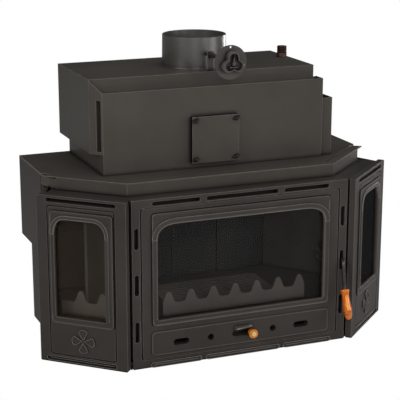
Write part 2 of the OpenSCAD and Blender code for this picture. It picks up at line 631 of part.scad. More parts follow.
module door_window() arch(-win_w / 2, win_w / 2, win_z0, win_z1, 66, 44);
module air_outline() {
    for (s = [-1, 1]) {
        round_rect(s * 197 - 25, s * 197 + 25, air_z - 10, air_z + 10, 9.9);
        translate([s * 102, air_z]) circle(10);
    }
}
module door_casting() color("#3c3a37") difference() {
    union() {
        upright(door_back, door_t) difference() {
            round_rect(-door_x, door_x, door_z0, door_z1, 6);
            door_window();
            air_outline();
            round_rect(-stem_x - 6, stem_x + 6, air_z - 9.5, air_z + 9.5, 9.4);
        }
        upright(front_y, 3.5) difference() {
            round_rect(-win_w / 2 - 16, win_w / 2 + 16, win_z0 - 15, win_z1 + 34, 9);
            door_window();
        }
        upright(front_y, 3) difference() {
            round_rect(-win_w / 2 - 19, win_w / 2 + 19, air_z - 33, air_z + 40, 12);
            air_outline();
            round_rect(-stem_x - 6, stem_x + 6, air_z - 9.5, air_z + 9.5, 9.4);
        }
        upright(front_y - 3, 7) round_rect(-stem_x, stem_x + 5, air_z + 15, air_z + 24, 4.4);
    }
    upright(front_y + 2, 3) difference() {
        round_rect(-win_w / 2 - 19, win_w / 2 + 19, win_z0 - 18, win_z1 + 37, 11);
        round_rect(-win_w / 2 - 16, win_w / 2 + 16, win_z0 - 15, win_z1 + 34, 9);
    }
    block([-win_w / 2 - 10, door_back - 10, win_z0 - 10], [win_w / 2 + 10, door_back + 1, win_z1 + 10]);
    for (z = [door_z0 - 1, door_z1 - 13]) translate([hinge_x, hinge_y, z])
        cylinder(r = pin_r + run_gap, h = 14);
    translate([-door_x, door_back, door_z0 - 1]) linear_extrude(door_z1 - door_z0 + 2)
        polygon([[-1, -4], [0, -4], [4, 0], [4, 1], [-1, 1]]);
    upright(door_back + 1, 7) difference() {
        round_rect(-door_x + 5, door_x - 5, door_z0 + 5, door_z1 - 5, 10);
        round_rect(-door_x + 13, door_x - 13, door_z0 + 13, door_z1 - 13, 6);
    }
}
module door_seal() color("#8a8880") upright(back_y - 0.5, back_y - 0.5 - door_back + 6) difference() {
    round_rect(-door_x + 5, door_x - 5, door_z0 + 5, door_z1 - 5, 10);
    round_rect(-door_x + 13, door_x - 13, door_z0 + 13, door_z1 - 13, 6);
}
module door_glass() color("#5a605e", 0.35)
    block([-win_w / 2 - 9, door_back - 10, win_z0 - 9],
        [win_w / 2 + 9, door_back - 10 + glass_t, win_z1 + 9]);
clip_z = [win_z0 + 45, (win_z0 + win_z1) / 2 + 8, win_z1 - 38];
module glass_clips() color("#77736c") for (x = [-win_w / 2 - 9, win_w / 2 - 7], z = clip_z)
    block([x, door_back - 10 + glass_t, z], [x + 16, door_back, z + 26]);
module door_striker() color("#77736c") {
    for (x = [seat_x - 26, seat_x - 12])
        block([x, door_back, shaft_z + 11.4], [x + 2, shaft_y + 43, shaft_z + 19.5]);
    block([seat_x - 26, door_back, shaft_z + 11.4], [seat_x - 10, door_back + 3, shaft_z + 19.5]);
    translate([seat_x - 26, shaft_y + 38, shaft_z + 14]) rod_x(3, 16);
}
module slider_rails() color("#77736c") for (s = [-1, 1]) {
    block([-240, door_back, s > 0 ? air_z + 15 : air_z - 18],
        [240, door_back + 6, s > 0 ? air_z + 18 : air_z - 15]);
    block([-240, door_back + 4, s > 0 ? air_z + 11 : air_z - 15],
        [240, door_back + 6, s > 0 ? air_z + 15 : air_z - 11]);
}
module air_slider() color("#4a4848") difference() {
    union() {
        block([-232, door_back + 0.4, air_z - 14.5], [232, door_back + 3.4, air_z + 14.5]);
        translate([stem_x, front_y - 26, air_z]) rod_y(4, door_t + 27);
    }
    upright(door_back + 5, 6) air_outline();
}
module air_knob() color("#a9743f") translate([stem_x, front_y - 32, air_z]) difference() {
    union() {
        rod_y(knob_r * 0.72, 24);
        translate([0, 3, 0]) rod_y(knob_r, 9);
    }
    translate([0, 6, 0]) rod_y(4, 19);
}

base_frame();
body_floor();
outer_casing();
inner_firebox();
jacket_strips();
top_plate();
firebox_ceiling();
smoke_throat();
front_carrier();
collar_band();
neck_casing();
tank_shell();
smoke_box();
heat_tubes();
front_shield();
cover_seal();
cover_plate();
cover_screws();
side_duct();
flue_collar();
water_outlet();
return_socket();
well_socket();
rod_bracket();
damper_rosette();
damper_rod();
damper_blade();
damper_grip();
centre_frame();
hinge_pins();
frame_bolts();
wing_frame_left();
wing_frame_right();
wing_glass_left();
wing_glass_right();
wing_bolts();
wing_clips();
hearth_plate();
drawer_guides();
ash_drawer();
fire_grate();
front_fence();
side_fences();
back_plates();
side_plates();
smoke_baffle();
baffle_hangers();
latch_bracket();
latch_shaft();
latch_lever();
latch_hook();
handle_grip();
door_casting();
door_glass();
door_seal();
glass_clips();
door_striker();
slider_rails();
air_slider();
air_knob();
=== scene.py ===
"""Boiler fireplace insert with a three-sided cast front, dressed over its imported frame."""

import math

import bmesh
import bpy
import numpy as np
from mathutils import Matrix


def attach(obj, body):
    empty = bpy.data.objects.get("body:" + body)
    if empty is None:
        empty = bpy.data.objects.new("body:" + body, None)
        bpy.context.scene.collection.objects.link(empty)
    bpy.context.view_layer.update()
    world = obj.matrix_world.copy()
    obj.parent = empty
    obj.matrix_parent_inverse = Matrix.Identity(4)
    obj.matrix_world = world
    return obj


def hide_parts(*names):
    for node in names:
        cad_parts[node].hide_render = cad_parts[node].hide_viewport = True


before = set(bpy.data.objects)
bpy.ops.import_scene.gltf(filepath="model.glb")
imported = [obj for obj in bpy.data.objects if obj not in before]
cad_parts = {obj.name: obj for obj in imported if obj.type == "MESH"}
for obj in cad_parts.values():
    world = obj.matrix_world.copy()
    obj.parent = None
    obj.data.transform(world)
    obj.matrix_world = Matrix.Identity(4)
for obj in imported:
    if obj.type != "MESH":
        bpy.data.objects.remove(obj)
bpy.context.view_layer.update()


# Floor, backdrop and camera.
# A plain pale studio floor under a white room, seen from the left and a little above, as the
# stove was photographed.
def lay_skin(name, grid, loop_rows=False, loop_columns=False):
    """A skin over a grid of points: the points of a row and of the next row are joined by one
    face for each step along the row. A looped row or column joins its last point to its first."""
    grid = np.asarray(grid, float)
    rows, columns = grid.shape[:2]
    i = np.arange(rows if loop_rows else rows - 1)[:, None]
    j = np.arange(columns if loop_columns else columns - 1)[None, :]
    down, right = (i + 1) % rows, (j + 1) % columns
    faces = np.stack(
        [i * columns + j, i * columns + right, down * columns + right, down * columns + j], -1
    )
    mesh = bpy.data.meshes.new(name)
    mesh.from_pydata(grid.reshape(-1, 3).tolist(), [], faces.reshape(-1, 4).tolist())
    skin = bpy.data.objects.new(name, mesh)
    bpy.context.scene.collection.objects.link(skin)
    return skin


def look_straight(nodes, links):
    """The light path, and a value that is one where the camera looks at the surface directly or
    through glass, else nought."""
    seen = nodes.new("ShaderNodeLightPath")
    direct = nodes.new("ShaderNodeMath")
    direct.operation = "MAXIMUM"
    links.new(seen.outputs["Is Camera Ray"], direct.inputs[0])
    links.new(seen.outputs["Is Transmission Ray"], direct.inputs[1])
    return seen, direct


floor_reach, floor_level = 9.0, -0.0005
floor_share_in_mirrors = 0.08
span = np.linspace(-floor_reach, floor_reach, 4)
floor = lay_skin(
    "studio_floor", np.stack(np.broadcast_arrays(span[:, None], span[None, :], floor_level), -1)
)
floor_paint = bpy.data.materials.new("studio_floor_paint")
floor_paint.use_nodes = True
nodes, links = floor_paint.node_tree.nodes, floor_paint.node_tree.links
nodes.clear()
seen, direct = look_straight(nodes, links)
in_mirrors = nodes.new("ShaderNodeMath")
in_mirrors.operation = "MULTIPLY"
in_mirrors.inputs[1].default_value = floor_share_in_mirrors
share = nodes.new("ShaderNodeMath")
share.operation = "MAXIMUM"
matt = nodes.new("ShaderNodeBsdfDiffuse")
matt.inputs["Color"].default_value = (0.86, 0.86, 0.86, 1)
white = nodes.new("ShaderNodeEmission")
white.inputs["Color"].default_value = (1, 1, 1, 1)
white.inputs["Strength"].default_value = 1.0
mix = nodes.new("ShaderNodeMixShader")
out = nodes.new("ShaderNodeOutputMaterial")
links.new(seen.outputs["Is Glossy Ray"], in_mirrors.inputs[0])
links.new(direct.outputs[0], share.inputs[0])
links.new(in_mirrors.outputs[0], share.inputs[1])
links.new(share.outputs[0], mix.inputs["Fac"])
links.new(matt.outputs[0], mix.inputs[1])
links.new(white.outputs[0], mix.inputs[2])
links.new(mix.outputs[0], out.inputs["Surface"])
floor.data.materials.append(floor_paint)

room_light, room_in_mirrors = 0.11, 0.05
room = bpy.data.worlds.new("white_room")
bpy.context.scene.world = room
room.use_nodes = True
nodes, links = room.node_tree.nodes, room.node_tree.links
nodes.clear()
seen, direct = look_straight(nodes, links)
unseen = nodes.new("ShaderNodeMapRange")
unseen.inputs["To Min"].default_value = room_light
unseen.inputs["To Max"].default_value = room_in_mirrors
level = nodes.new("ShaderNodeMapRange")
level.inputs["To Max"].default_value = 1.0
sky = nodes.new("ShaderNodeBackground")
sky.inputs["Color"].default_value = (1, 1, 1, 1)
out = nodes.new("ShaderNodeOutputWorld")
links.new(direct.outputs[0], level.inputs["Value"])
links.new(seen.outputs["Is Glossy Ray"], unseen.inputs["Value"])
links.new(unseen.outputs["Result"], level.inputs["To Min"])
links.new(level.outputs["Result"], sky.inputs["Strength"])
links.new(sky.outputs[0], out.inputs["Surface"])

camera_place = (-1.4871, -3.7438, 1.480)
camera_pitch, camera_heading = 74.82, -21.93
scene = bpy.context.scene
scene.view_settings.view_transform = "Standard"
lens = bpy.data.cameras.new("front_left_camera")
lens.lens = 116.0
lens.sensor_width = 36.0
lens.clip_end = 60.0
camera = bpy.data.objects.new("front_left_camera", lens)
camera.location = camera_place
camera.rotation_euler = (math.radians(camera_pitch), 0, math.radians(camera_heading))
scene.collection.objects.link(camera)
scene.camera = camera


# Studio lamps.
# Six soft boxes: the main one stands far to the left, two beside the camera, one low on the right
# that streaks the flue and the grip, one overhead, and one behind that keeps the back readable.
def hang_lamp(name, place, aim, width, watts, colour):
    """A square soft box at place whose back axis points away from aim."""
    light = bpy.data.lights.new(name, "AREA")
    light.shape = "SQUARE"
    light.size = width
    light.energy = watts
    light.color = colour
    lamp = bpy.data.objects.new(name, light)
    away = np.array(place, float) - np.array(aim, float)
    lamp.location = place
    lamp.rotation_euler = (
        math.acos(away[2] / np.linalg.norm(away)),
        0,
        math.atan2(away[0], -away[1]),
    )
    scene.collection.objects.link(lamp)


warm_white, plain_white = (1.0, 0.98, 0.95), (1.0, 0.99, 0.98)
front_middle = (0.0, 0.0, 0.5)
for name, place, aim, width, watts, colour in (
    ("main_soft_box", (-4.0, -1.8, 2.6), front_middle, 2.2, 98, warm_white),
    ("front_soft_box", (-1.2, -4.1, 2.1), front_middle, 1.3, 48, warm_white),
    ("low_soft_box", (1.2, -4.0, 1.6), front_middle, 1.3, 33, warm_white),
    ("right_soft_box", (3.0, -2.5, 1.3), (0.0, 0.0, 0.7), 1.2, 42, warm_white),
    ("top_soft_box", (0.2, 0.2, 3.4), (0.0, 0.0, 0.6), 2.4, 28, plain_white),
    ("back_soft_box", (4.3, 2.4, 0.9), (0.0, 0.0, 0.4), 1.6, 80, plain_white),
):
    hang_lamp(name, place, aim, width, watts, colour)


# Welded steel body.
# Floor, water jacket, top plate, throat and neck are sheet steel, bent and welded, then sprayed
# with satin heat-resistant paint, which is painted paler along the folds as wear and highlight;
# the casing and the front's carrier below are sprayed darker than the plates above.
def spray_paint(
    name, dark, light, grain, rough, edge_radius, wear_and_highlight_share, wear_and_highlight_gain=2.1, shine=0.1, reach=0.016
):
    """Sprayed paint: slow clouds of noise mix the dark and the light tone, and noise as fast as
    grain gives the orange peel. Where a normal rounded over edge_radius leaves the flat one, up
    to a given share of the light tone, raised by a given gain, shows: edge wear and a painted
    highlight on the arrises. Hollows, where most directions are closed within reach, are painted
    nearly black as shade. The roughness swings about rough with the clouds."""
    hollow_shade = 0.12
    paint = bpy.data.materials.new(name)
    paint.use_nodes = True
    nodes, links = paint.node_tree.nodes, paint.node_tree.links
    shader = nodes["Principled BSDF"]
    shader.inputs["Specular IOR Level"].default_value = shine
    where = nodes.new("ShaderNodeTexCoord")
    clouds = nodes.new("ShaderNodeTexNoise")
    clouds.inputs["Scale"].default_value = 5.0
    clouds.inputs["Detail"].default_value = 6.0
    clouds.inputs["Roughness"].default_value = 0.62
    tones = nodes.new("ShaderNodeValToRGB")
    tones.color_ramp.elements[0].position = 0.32
    tones.color_ramp.elements[0].color = (*dark, 1)
    tones.color_ramp.elements[1].position = 0.68
    tones.color_ramp.elements[1].color = (*light, 1)
    peel = nodes.new("ShaderNodeTexNoise")
    peel.inputs["Scale"].default_value = grain
    peel.inputs["Detail"].default_value = 3.0
    relief = nodes.new("ShaderNodeBump")
    relief.inputs["Strength"].default_value = 0.35
    relief.inputs["Distance"].default_value = 0.00025
    # Painted highlight, with wear: a much brighter light tone is laid on the rounded edges that the
    # bevel finds.
    soft = nodes.new("ShaderNodeBevel")
    soft.samples = 4
    soft.inputs["Radius"].default_value = edge_radius
    flat = nodes.new("ShaderNodeNewGeometry")
    along = nodes.new("ShaderNodeVectorMath")
    along.operation = "DOT_PRODUCT"
    edge = nodes.new("ShaderNodeMapRange")
    edge.inputs["From Min"].default_value = 0.995
    edge.inputs["From Max"].default_value = 0.86
    edge.inputs["To Max"].default_value = wear_and_highlight_share
    pale = nodes.new("ShaderNodeMix")
    pale.data_type = "RGBA"
    pale.inputs["B"].default_value = (*[min(1.0, wear_and_highlight_gain * c) for c in light], 1)
    # Painted shade: where the occlusion finds a hollow, the colour falls to a small share of the
    # dark tone, nearly black.
    hollow = nodes.new("ShaderNodeAmbientOcclusion")
    hollow.samples = 6
    hollow.inputs["Distance"].default_value = reach
    open_to = nodes.new("ShaderNodeMapRange")
    open_to.inputs["From Min"].default_value = 0.48
    open_to.inputs["From Max"].default_value = 0.90
    raised = nodes.new("ShaderNodeMath")
    raised.operation = "MULTIPLY"
    kept = nodes.new("ShaderNodeMapRange")
    kept.inputs["To Min"].default_value = 0.12
    painted_hollow_shade = nodes.new("ShaderNodeMix")
    painted_hollow_shade.data_type = "RGBA"
    painted_hollow_shade.inputs["A"].default_value = (*[hollow_shade * c for c in dark], 1)
    sheen = nodes.new("ShaderNodeMapRange")
    sheen.inputs["To Min"].default_value = rough - 0.06
    sheen.inputs["To Max"].default_value = rough + 0.08
    links.new(where.outputs["Object"], clouds.inputs["Vector"])
    links.new(where.outputs["Object"], peel.inputs["Vector"])
    links.new(clouds.outputs["Fac"], tones.inputs["Fac"])
    links.new(peel.outputs["Fac"], relief.inputs["Height"])
    links.new(soft.outputs["Normal"], relief.inputs["Normal"])
    links.new(soft.outputs["Normal"], along.inputs[0])
    links.new(flat.outputs["True Normal"], along.inputs[1])
    links.new(along.outputs["Value"], edge.inputs["Value"])
    links.new(hollow.outputs["AO"], open_to.inputs["Value"])
    links.new(edge.outputs["Result"], raised.inputs[0])
    links.new(open_to.outputs["Result"], raised.inputs[1])
    links.new(raised.outputs[0], pale.inputs["Factor"])
    links.new(tones.outputs["Color"], pale.inputs["A"])
    links.new(open_to.outputs["Result"], kept.inputs["Value"])
    links.new(kept.outputs["Result"], painted_hollow_shade.inputs["Factor"])
    links.new(pale.outputs["Result"], painted_hollow_shade.inputs["B"])
    links.new(painted_hollow_shade.outputs["Result"], shader.inputs["Base Color"])
    links.new(clouds.outputs["Fac"], sheen.inputs["Value"])
    links.new(sheen.outputs["Result"], shader.inputs["Roughness"])
    links.new(relief.outputs["Normal"], shader.inputs["Normal"])
    return paint


def dress(finish, *names):
    """Each named frame part shows that finish."""
    for name in names:
        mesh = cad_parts[name].data
        mesh.materials.clear()
        mesh.materials.append(finish)


sheet_paint = spray_paint(
    "sheet_paint", (0.049, 0.0440, 0.0390), (0.062, 0.0565, 0.0510),
    grain=1400, rough=0.44, edge_radius=0.0024, wear_and_highlight_share=1.0, wear_and_highlight_gain=3.8,
)
dress(sheet_paint, "jacket_strips", "top_plate", "smoke_throat", "collar_band", "neck_casing")
casing_paint = spray_paint(
    "casing_paint", (0.0265, 0.0232, 0.0203), (0.0340, 0.0302, 0.0268),
    grain=1400, rough=0.48, edge_radius=0.0022, wear_and_highlight_share=0.9, wear_and_highlight_gain=3.4,
)
dress(casing_paint, "base_frame", "body_floor", "outer_casing", "front_carrier")


# Fire chamber.
# The inner jacket, ceiling, baffle and hearth plate are bare mill-scaled plate that has been
# blacked and is dull and brown from the heat; the cast liner plates on the sides are painted
# paler for the light that falls on them through the glass, and those at the back are painted
# darker as shade.
chamber_black = spray_paint(
    "chamber_black", (0.036, 0.029, 0.024), (0.062, 0.048, 0.038),
    grain=900, rough=0.66, edge_radius=0.001, wear_and_highlight_share=0.25,
)
dress(
    chamber_black,
    *["inner_firebox", "firebox_ceiling", "hearth_plate", "drawer_guides", "ash_drawer"],
    *["smoke_baffle", "baffle_hangers", "smoke_box", "heat_tubes"],
)
# Painted shade: the back liner plates are made darker than the side plates of the same casting.
shaded_back_liner = spray_paint(
    "shaded_back_liner", (0.020, 0.0185, 0.018), (0.040, 0.037, 0.0355),
    grain=260, rough=0.7, edge_radius=0.0018, wear_and_highlight_share=0.6, wear_and_highlight_gain=4.5,
)
dress(shaded_back_liner, "back_plates")
# Painted light: the side liner plates are made paler for the light that falls on them through the
# glass.
lit_side_liner = spray_paint(
    "lit_side_liner", (0.058, 0.050, 0.045), (0.094, 0.083, 0.076),
    grain=260, rough=0.7, edge_radius=0.0018, wear_and_highlight_share=0.6, wear_and_highlight_gain=3.0,
)
dress(lit_side_liner, "side_plates")


# Grate and log fences.
# Sand-cast iron: a slotted grate in the hearth, and fences with waved tops that keep the logs
# off the glass. The iron is a rough warm grey, lighter than the plate behind it.
fence_iron = spray_paint(
    "fence_iron", (0.110, 0.095, 0.084), (0.150, 0.132, 0.118),
    grain=700, rough=0.6, edge_radius=0.0022, wear_and_highlight_share=0.4,
)
dress(fence_iron, "fire_grate", "front_fence", "side_fences")


# Tank and its front shield.
# The tank above the neck is welded from thicker plate, and the shield is one thin folded sheet
# that stands in front of it; both are sprayed like the body's upper plates.
tank_paint = spray_paint(
    "tank_paint", (0.047, 0.0435, 0.0385), (0.060, 0.0555, 0.0500),
    grain=1500, rough=0.42, edge_radius=0.0024, wear_and_highlight_share=1.0, wear_and_highlight_gain=3.6,
)
dress(tank_paint, "tank_shell", "front_shield", "side_duct", "cover_plate", "rod_bracket")


# Cast fronts.
# Centre frame, door and the two wings are grey iron castings with rounded arrises, sprayed with
# the same paint, which looks darker and more open on the cast skin; its edges are painted paler,
# as wear and as highlight.
cast_paint = spray_paint(
    "cast_paint", (0.030, 0.0270, 0.0245), (0.040, 0.0360, 0.0330),
    grain=650, rough=0.46, edge_radius=0.0026, wear_and_highlight_share=1.0, wear_and_highlight_gain=4.8, reach=0.008,
)
dress(cast_paint, "centre_frame", "wing_frame_left", "wing_frame_right", "door_casting")


# Glass.
# Three panes of ceramic glass, 4 mm thick, lie in the rebates behind the windows. They look
# nearly black when seen at a slant; the left wing's pane is browned by the fire, and the right
# wing's pane has its reflection taken out, a painted shade over what it would mirror.
pane_glass = bpy.data.materials.new("pane_glass")
pane_glass.use_nodes = True
nodes, links = pane_glass.node_tree.nodes, pane_glass.node_tree.links
shader = nodes["Principled BSDF"]
shader.inputs["Base Color"].default_value = (0.012, 0.012, 0.013, 1)
shader.inputs["Specular IOR Level"].default_value = 0.35
shader.inputs["IOR"].default_value = 1.5
slant = nodes.new("ShaderNodeLayerWeight")
slant.inputs["Blend"].default_value = 0.5
tinted = nodes.new("ShaderNodeMapRange")
tinted.inputs["From Min"].default_value = 0.20
tinted.inputs["From Max"].default_value = 0.70
tinted.inputs["To Min"].default_value = 0.16
tinted.inputs["To Max"].default_value = 0.75
where = nodes.new("ShaderNodeTexCoord")
smears = nodes.new("ShaderNodeTexNoise")
smears.inputs["Scale"].default_value = 9.0
smears.inputs["Detail"].default_value = 5.0
haze = nodes.new("ShaderNodeMapRange")
haze.inputs["To Min"].default_value = 0.02
haze.inputs["To Max"].default_value = 0.05
links.new(slant.outputs["Facing"], tinted.inputs["Value"])
links.new(tinted.outputs["Result"], shader.inputs["Alpha"])
links.new(where.outputs["Object"], smears.inputs["Vector"])
links.new(smears.outputs["Fac"], haze.inputs["Value"])
links.new(haze.outputs["Result"], shader.inputs["Roughness"])
dress(pane_glass, "door_glass")

warm_glass = pane_glass.copy()
warm_glass.name = "warm_pane_glass"
shader = warm_glass.node_tree.nodes["Principled BSDF"]
shader.inputs["Base Color"].default_value = (0.040, 0.028, 0.016, 1)
dress(warm_glass, "wing_glass_left")

# Painted shade: the right wing's pane reflects nothing.
reflection_shaded_glass = pane_glass.copy()
reflection_shaded_glass.name = "reflection_shaded_pane_glass"
shader = reflection_shaded_glass.node_tree.nodes["Principled BSDF"]
shader.inputs["Specular IOR Level"].default_value = 0.0
dress(reflection_shaded_glass, "wing_glass_right")


# Small steel parts.
# Hinge pins, latch shaft, hook and striker are bright steel dulled by oil and handling; bolts,
# clips, rails, air slider and damper linkage are blacked; the sockets are brown with primer.
def turned_steel(name, dark, light, rough):
    """Handled steel: fine noise mixes the dark and the light tone, presses small dents into the
    surface and swings the roughness about rough."""
    steel = bpy.data.materials.new(name)
    steel.use_nodes = True
    nodes, links = steel.node_tree.nodes, steel.node_tree.links
    shader = nodes["Principled BSDF"]
    shader.inputs["Metallic"].default_value = 0.85
    where = nodes.new("ShaderNodeTexCoord")
    stains = nodes.new("ShaderNodeTexNoise")
    stains.inputs["Scale"].default_value = 90.0
    stains.inputs["Detail"].default_value = 5.0
    tones = nodes.new("ShaderNodeValToRGB")
    tones.color_ramp.elements[0].position = 0.35
    tones.color_ramp.elements[0].color = (*dark, 1)
    tones.color_ramp.elements[1].position = 0.65
    tones.color_ramp.elements[1].color = (*light, 1)
    sheen = nodes.new("ShaderNodeMapRange")
    sheen.inputs["To Min"].default_value = rough - 0.08
    sheen.inputs["To Max"].default_value = rough + 0.1
    relief = nodes.new("ShaderNodeBump")
    relief.inputs["Strength"].default_value = 0.2
    relief.inputs["Distance"].default_value = 0.0002
    links.new(where.outputs["Object"], stains.inputs["Vector"])
    links.new(stains.outputs["Fac"], tones.inputs["Fac"])
    links.new(tones.outputs["Color"], shader.inputs["Base Color"])
    links.new(stains.outputs["Fac"], sheen.inputs["Value"])
    links.new(sheen.outputs["Result"], shader.inputs["Roughness"])
    links.new(stains.outputs["Fac"], relief.inputs["Height"])
    links.new(relief.outputs["Normal"], shader.inputs["Normal"])
    return steel


oiled_steel = turned_steel("oiled_steel", (0.16, 0.15, 0.145), (0.30, 0.29, 0.28), rough=0.36)
dress(oiled_steel, "hinge_pins", "latch_shaft", "latch_hook", "door_striker")
dark_steel = turned_steel("dark_steel", (0.035, 0.032, 0.031), (0.075, 0.070, 0.068), rough=0.34)
dress(
    dark_steel,
    *["wing_clips", "glass_clips", "frame_bolts", "wing_bolts", "latch_bracket"],
    *["slider_rails", "air_slider", "damper_rod", "damper_blade"],
)
primer = turned_steel("brown_primer", (0.040, 0.022, 0.017), (0.075, 0.043, 0.034), rough=0.5)
dress(primer, "return_socket", "well_socket")


# Rope seals.
# Round glass-fibre rope lies in a groove behind the door, grey with dust, and under the
# inspection cover, where it is made near black and barely reflects.
seal_rope = spray_paint(
    "seal_rope", (0.10, 0.098, 0.094), (0.22, 0.215, 0.205),
    grain=1200, rough=0.85, edge_radius=0.001, wear_and_highlight_share=0.1,
)
dress(seal_rope, "door_seal")
dark_rope = spray_paint(
    "dark_rope", (0.006, 0.0055, 0.005), (0.012, 0.011, 0.010),
    grain=1200, rough=0.85, edge_radius=0.001, wear_and_highlight_share=0.1, shine=0.03,
)
dress(dark_rope, "cover_seal")


# Flue collar.
# A rolled steel spigot, 200 mm across, is welded on the tank top; its thin wall tapers a little,
# the edges of its rim are broken, and the weld leaves a small uneven bead.
def finish_skin(skin, sharp=40):
    """Merges doubled points, turns the faces outwards and shades all but the sharp edges smooth."""
    work = bmesh.new()
    work.from_mesh(skin.data)
    bmesh.ops.remove_doubles(work, verts=work.verts, dist=1e-6)
    bmesh.ops.dissolve_degenerate(work, edges=work.edges, dist=1e-7)
    bmesh.ops.recalc_face_normals(work, faces=work.faces)
    work.to_mesh(skin.data)
    work.free()
    skin.data.polygons.foreach_set("use_smooth", np.ones(len(skin.data.polygons), bool))
    skin.data.set_sharp_from_angle(angle=math.radians(sharp))
    return skin


def turn_piece(name, start, axis, profile, sides=96, looped=False):
    """A turned piece: for every point of the profile a circle of its radius stands at its
    distance along the axis, and neighbouring circles are joined. Points are (distance, radius)."""
    axis = np.array(axis, float) / np.linalg.norm(axis)
    across = np.cross(axis, [0, 0, 1] if abs(axis[2]) < 0.9 else [1, 0, 0])
    across /= np.linalg.norm(across)
    third = np.cross(axis, across)
    profile = np.array(profile, float)
    angle = np.linspace(0, 2 * math.pi, sides, endpoint=False)
    ring = np.cos(angle)[:, None] * across + np.sin(angle)[:, None] * third
    circles = profile[:, 0, None, None] * axis + profile[:, 1, None, None] * ring
    grid = np.array(start, float) + circles
    return finish_skin(lay_skin(name, grid, loop_rows=looped, loop_columns=True))


tank_top, flue_rim = 0.8310, 0.9269
flue_bore, broken_edge = 0.0968, 0.0008
flue_steel = spray_paint(
    "flue_steel", (0.042, 0.0385, 0.0355), (0.054, 0.0500, 0.0470),
    grain=1500, rough=0.30, edge_radius=0.0004, wear_and_highlight_share=0.5, shine=1.0,
)

# Points are (height, radius): up the tapered outside, over the rim and down into the bore.
flue_outside = [(tank_top, 0.1014), (0.8500, 0.1011), (0.8800, 0.1006)]
flue_outside += [(flue_rim - broken_edge, 0.1000), (flue_rim, 0.0993)]
flue_inside = [(flue_rim, 0.0977), (flue_rim - broken_edge, flue_bore)]
flue_profile = [(tank_top, flue_bore), *flue_outside, *flue_inside]
flue = turn_piece("flue_spigot", (0, 0, 0), (0, 0, 1), flue_profile, 128, looped=True)
finish_skin(flue, 20)
flue.data.materials.append(flue_steel)
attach(flue, "stove")
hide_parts("flue_collar")

# The bead's middle runs round the collar, and its radius ripples with the angle in two waves.
weld_radius, weld_height, weld_size = 0.1026, 0.8312, 0.0026
turns = np.linspace(0, 2 * math.pi, 400, endpoint=False)
bulge = np.linspace(0, 2 * math.pi, 10, endpoint=False)
ripple = weld_size * (1 + 0.10 * np.sin(62 * turns) + 0.06 * np.sin(17 * turns))
bead_radius = weld_radius + ripple[:, None] * np.cos(bulge)
bead_height = weld_height + ripple[:, None] * np.sin(bulge)
bead = np.stack(
    [np.cos(turns)[:, None] * bead_radius, np.sin(turns)[:, None] * bead_radius, bead_height], -1
)
weld = finish_skin(lay_skin("flue_weld", bead, True, True), 180)
weld.data.materials.append(flue_steel)
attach(weld, "stove")


# Water outlet.
# A short length of pipe with a parallel thread, eleven turns to the inch, stands on a plain stub
# on the tank top; all of it is left in its brown primer.
def thread_grid(base, height, radius, pitch, depth, sides=64, steps=9):
    """A screw thread that stands on base: the radius falls and rises as a zigzag of the height
    plus the angle's share of one pitch, and fades out over the last turn at each end."""
    angle = np.linspace(0, 2 * math.pi, sides, endpoint=False)
    rise = np.linspace(0, height, int(height / pitch * steps) + 1)[:, None]
    phase = (rise / pitch - angle / (2 * math.pi)) % 1.0
    zigzag = np.abs(2 * phase - 1)
    fade = np.clip(np.minimum(rise, height - rise) / (0.8 * pitch), 0, 1)
    reach = radius - depth * (1 - zigzag * fade)
    return np.stack([reach * np.cos(angle), reach * np.sin(angle), base + (rise + 0 * angle)], -1)


def level_rings(sizes, sides=64):
    """One level circle for each (radius, height)."""
    angle = np.linspace(0, 2 * math.pi, sides, endpoint=False)
    x, y = np.cos(angle), np.sin(angle)
    return [np.stack(np.broadcast_arrays(r * x, r * y, z), -1) for r, z in sizes]


outlet_at = np.array([0.322, 0.036, 0.0])
outlet_bore, bore_foot = 0.0126, 0.832
stub_radius, stub_top = 0.0165, 0.8437
thread_foot, thread_length = 0.8442, 0.0215
stub = [(stub_radius, tank_top), (stub_radius, stub_top), (0.0161, 0.8441)]
outlet = np.concatenate(
    [
        level_rings([(outlet_bore, bore_foot)]),
        level_rings(stub),
        thread_grid(thread_foot, thread_length, radius=0.01595, pitch=0.00231, depth=0.0011),
        level_rings([(outlet_bore, thread_foot + thread_length)]),
    ]
)
outlet = finish_skin(lay_skin("outlet_pipe", outlet_at + outlet, True, True), 60)
outlet.data.materials.append(primer)
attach(outlet, "stove")
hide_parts("water_outlet")


# Damper control.
# A pressed rosette with three screw holes lies in the cladding's plane; on it turns a cast
# three-lobed grip, hollow on both sides of a drop-shaped pointer.
rod_height, grip_back, rosette_face = 0.879, -0.3002, -0.2932

# The outline's radius is a mean with a threefold wave and a small sixfold one.
lobe_mean, lobe_wave, lobe_pinch = 0.0298, 0.0076, 0.0014
lobe_angle = np.linspace(0, 2 * math.pi, 180, endpoint=False)
from_top = lobe_angle - math.pi / 2
lobe_out = lobe_mean + lobe_wave * np.cos(3 * from_top) - lobe_pinch * np.cos(6 * from_top)
share_out = np.concatenate([np.linspace(0, 0.86, 44), [0.9, 0.94, 0.97, 0.99, 1.0, 1.0]])
across = share_out[:, None] * lobe_out * np.cos(lobe_angle)
upwards = share_out[:, None] * lobe_out * np.sin(lobe_angle)

